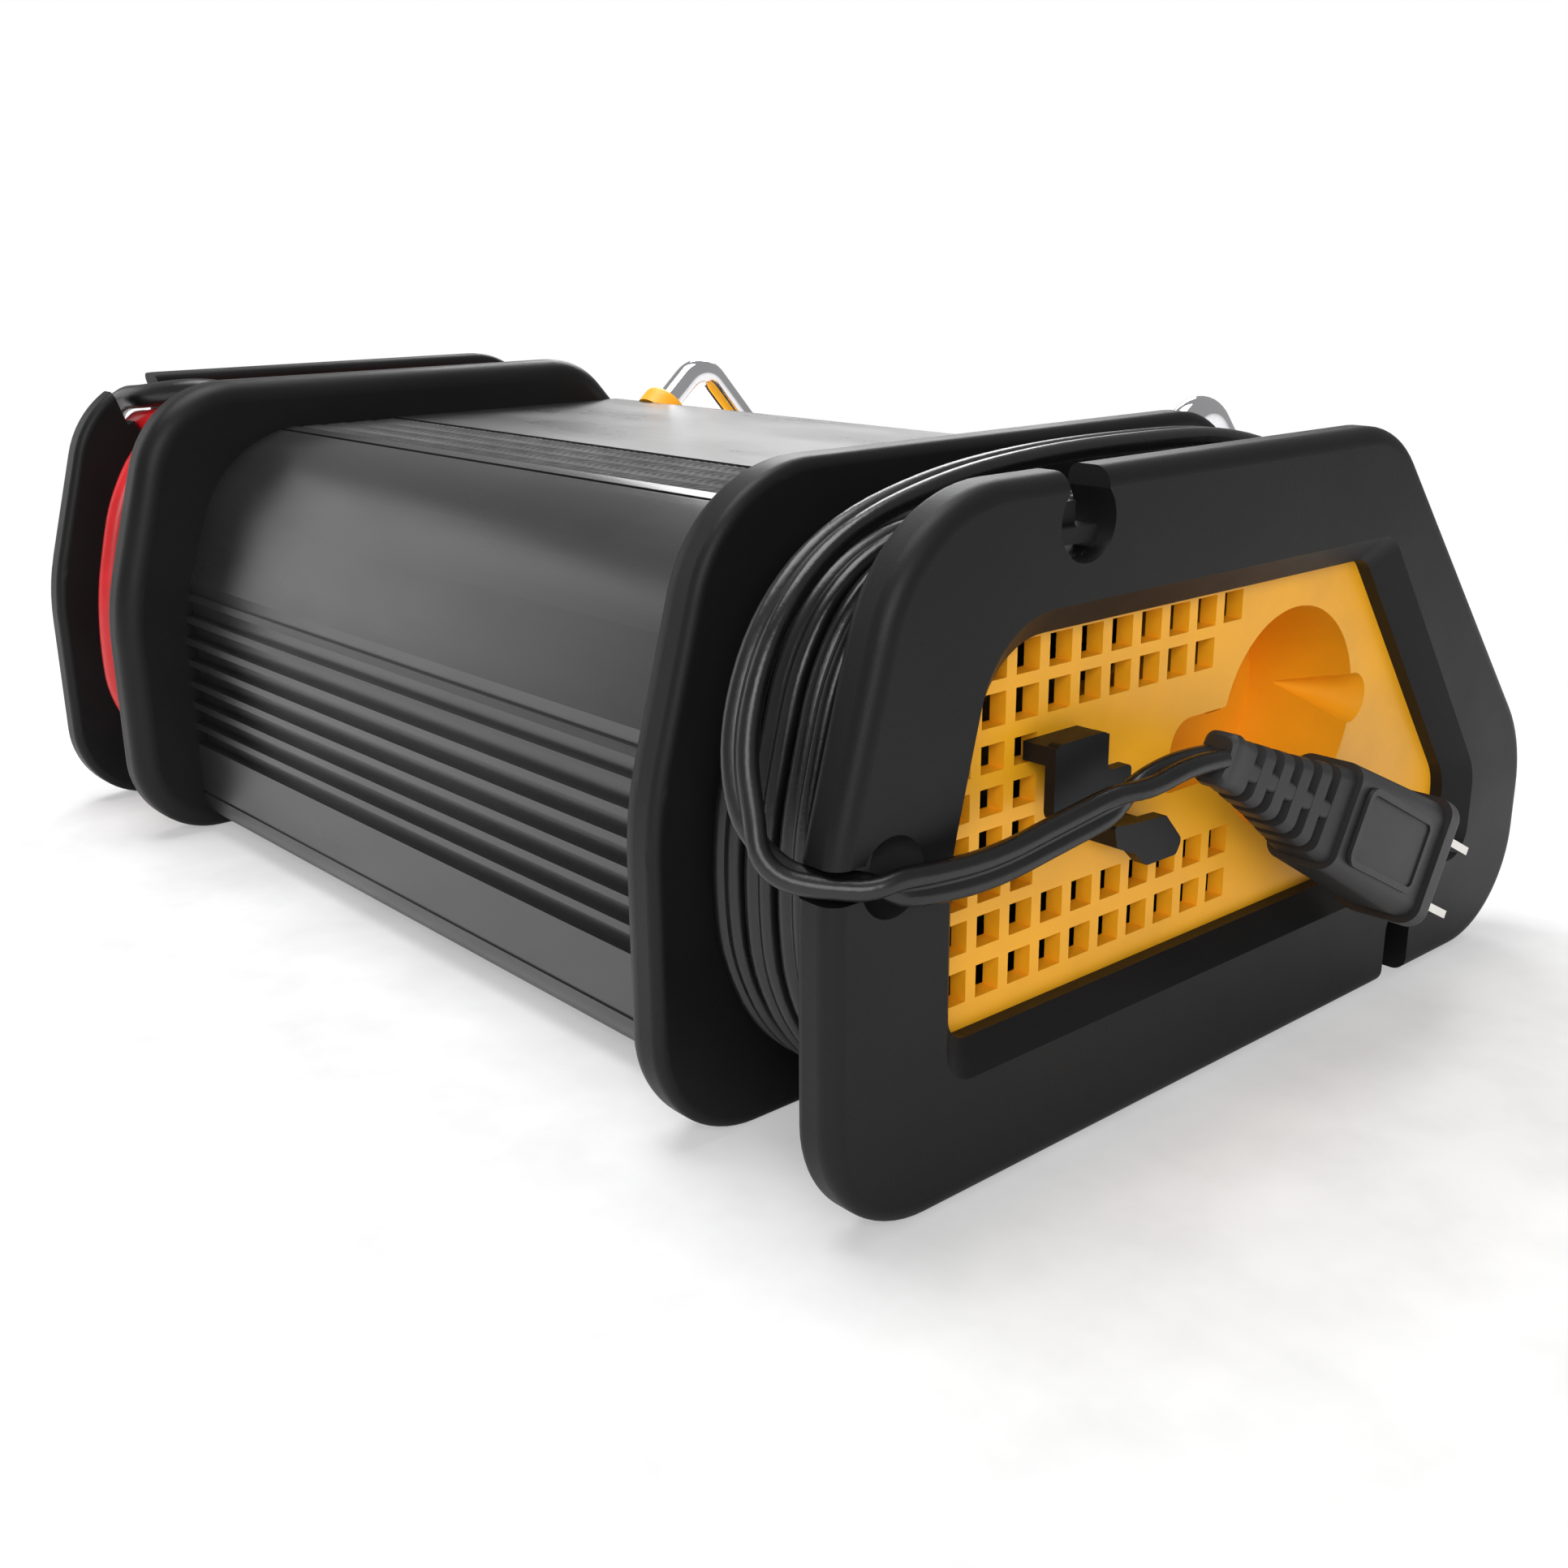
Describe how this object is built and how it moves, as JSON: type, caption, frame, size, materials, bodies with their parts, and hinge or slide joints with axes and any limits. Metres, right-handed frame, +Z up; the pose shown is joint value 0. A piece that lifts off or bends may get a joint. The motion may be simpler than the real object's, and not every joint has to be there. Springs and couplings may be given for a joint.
{
  "type": "car battery charger",
  "caption": "Bench charger with a sloped control panel, finned back, two carrying bars and a cord reel at each end.",
  "frame": {"origin": "centre of the body on the surface it stands on", "axes": "+X from the mains cord end to the battery lead end, +Y towards the finned back, +Z up"},
  "size_m": [0.3313, 0.2026, 0.1113],
  "materials": {
    "black_anodised": "black anodised extrusion with a soft sheen",
    "grip_rubber": "textured rubber strip",
    "yellow_plastic": "moulded orange-yellow plastic",
    "panel_black": "moulded black plastic, fine grain",
    "display_lens": "smoked clear window",
    "display_module": "grey-green display",
    "circuit_board": "green circuit board",
    "status_lights": "clear light pipes",
    "key_grey": "moulded grey key",
    "key_yellow": "moulded yellow key",
    "chrome": "polished chrome plate",
    "black_plastic": "moulded black plastic, satin",
    "soft_black": "black rubber",
    "fan_black": "black fan plastic",
    "brass": "turned brass",
    "zinc_steel": "zinc-plated steel",
    "core_steel": "laminated steel",
    "copper_enamel": "enamelled copper winding",
    "capacitor_sleeve": "dark sleeve",
    "bare_aluminium": "bare aluminium",
    "black_cord": "black flexible cord, satin",
    "red_cord": "red flexible cable, satin",
    "plug_black": "moulded black plug",
    "nickel": "nickel plate",
    "clamp_red": "moulded red plastic",
    "clamp_black": "moulded black plastic"
  },
  "bodies": {
    "charger": {"ac_cord_lead": "black_cord", "ac_cord_winding": "black_cord", "ac_end_plate": "black_plastic", "ac_grommet": "soft_black", "ac_reel": "black_plastic", "ac_vent_panel": "yellow_plastic", "bar_feet": "yellow_plastic", "black_clamp_fixed": "clamp_black", "black_clamp_pin": "nickel", "black_clamp_spring": "zinc_steel", "black_lead": "black_cord", "black_winding": "black_cord", "board_posts": "brass", "board_screws": "zinc_steel", "body_extrusion": "black_anodised", "capacitors": "capacitor_sleeve", "choke_coil": "copper_enamel", "chrome_bar_ac": "chrome", "chrome_bar_dc": "chrome", "control_panel": "panel_black", "cord_hook_lower": "black_plastic", "cord_hook_upper": "black_plastic", "dc_end_plate": "black_plastic", "dc_grommets": "soft_black", "dc_reel": "black_plastic", "dc_vent_panel": "yellow_plastic", "display_lens": "display_lens", "display_module": "display_module", "fan_frame": "fan_black", "front_fascia": "yellow_plastic", "fuse_holder": "panel_black", "grip_strip": "grip_rubber", "heat_sink": "bare_aluminium", "main_board": "circuit_board", "panel_board": "circuit_board", "parking_rib": "yellow_plastic", "plug_blades": "nickel", "plug_body": "plug_black", "plug_cup": "yellow_plastic", "plug_strain_relief": "plug_black", "red_clamp_fixed": "clamp_red", "red_clamp_pin": "nickel", "red_clamp_spring": "zinc_steel", "red_lead": "red_cord", "red_winding": "red_cord", "status_lights": "status_lights", "strap_lug": "black_plastic", "terminal_block": "panel_black", "transformer_coil": "copper_enamel", "transformer_core": "core_steel"},
    "mode_key": {"mode_button": "key_grey"},
    "rate_key": {"rate_button": "key_grey"},
    "start_key": {"start_button": "key_yellow"},
    "fan": {"fan_rotor": "fan_black"},
    "red_jaw": {"red_clamp_moving": "clamp_red"},
    "black_jaw": {"black_clamp_moving": "clamp_black"}
  },
  "joints": [
    {"name": "mode_press", "type": "slide", "parent": "charger", "child": "mode_key", "axis": [0, 0.75, -0.6614], "range_m": [0, 0.001], "stiffness_N_per_m": 300, "springref_m": -0.0005},
    {"name": "rate_press", "type": "slide", "parent": "charger", "child": "rate_key", "axis": [0, 0.75, -0.6614], "range_m": [0, 0.001], "stiffness_N_per_m": 300, "springref_m": -0.0005},
    {"name": "start_press", "type": "slide", "parent": "charger", "child": "start_key", "axis": [0, 0.75, -0.6614], "range_m": [0, 0.001], "stiffness_N_per_m": 300, "springref_m": -0.0005},
    {"name": "fan_spin", "type": "hinge", "parent": "charger", "child": "fan", "pos_m": [0.0888, 0, 0.05], "axis": [1, 0, 0], "continuous": true},
    {"name": "red_jaw_open", "type": "hinge", "parent": "charger", "child": "red_jaw", "pos_m": [0.131, 0, 0.05], "axis": [-1, 0, 0], "range_deg": [0, 25], "stiffness_Nm_per_rad": 0.6, "springref_deg": -28.65},
    {"name": "black_jaw_open", "type": "hinge", "parent": "charger", "child": "black_jaw", "pos_m": [0.112, 0, 0.05], "axis": [-1, 0, 0], "range_deg": [0, 25], "stiffness_Nm_per_rad": 0.6, "springref_deg": -28.65}
  ]
}
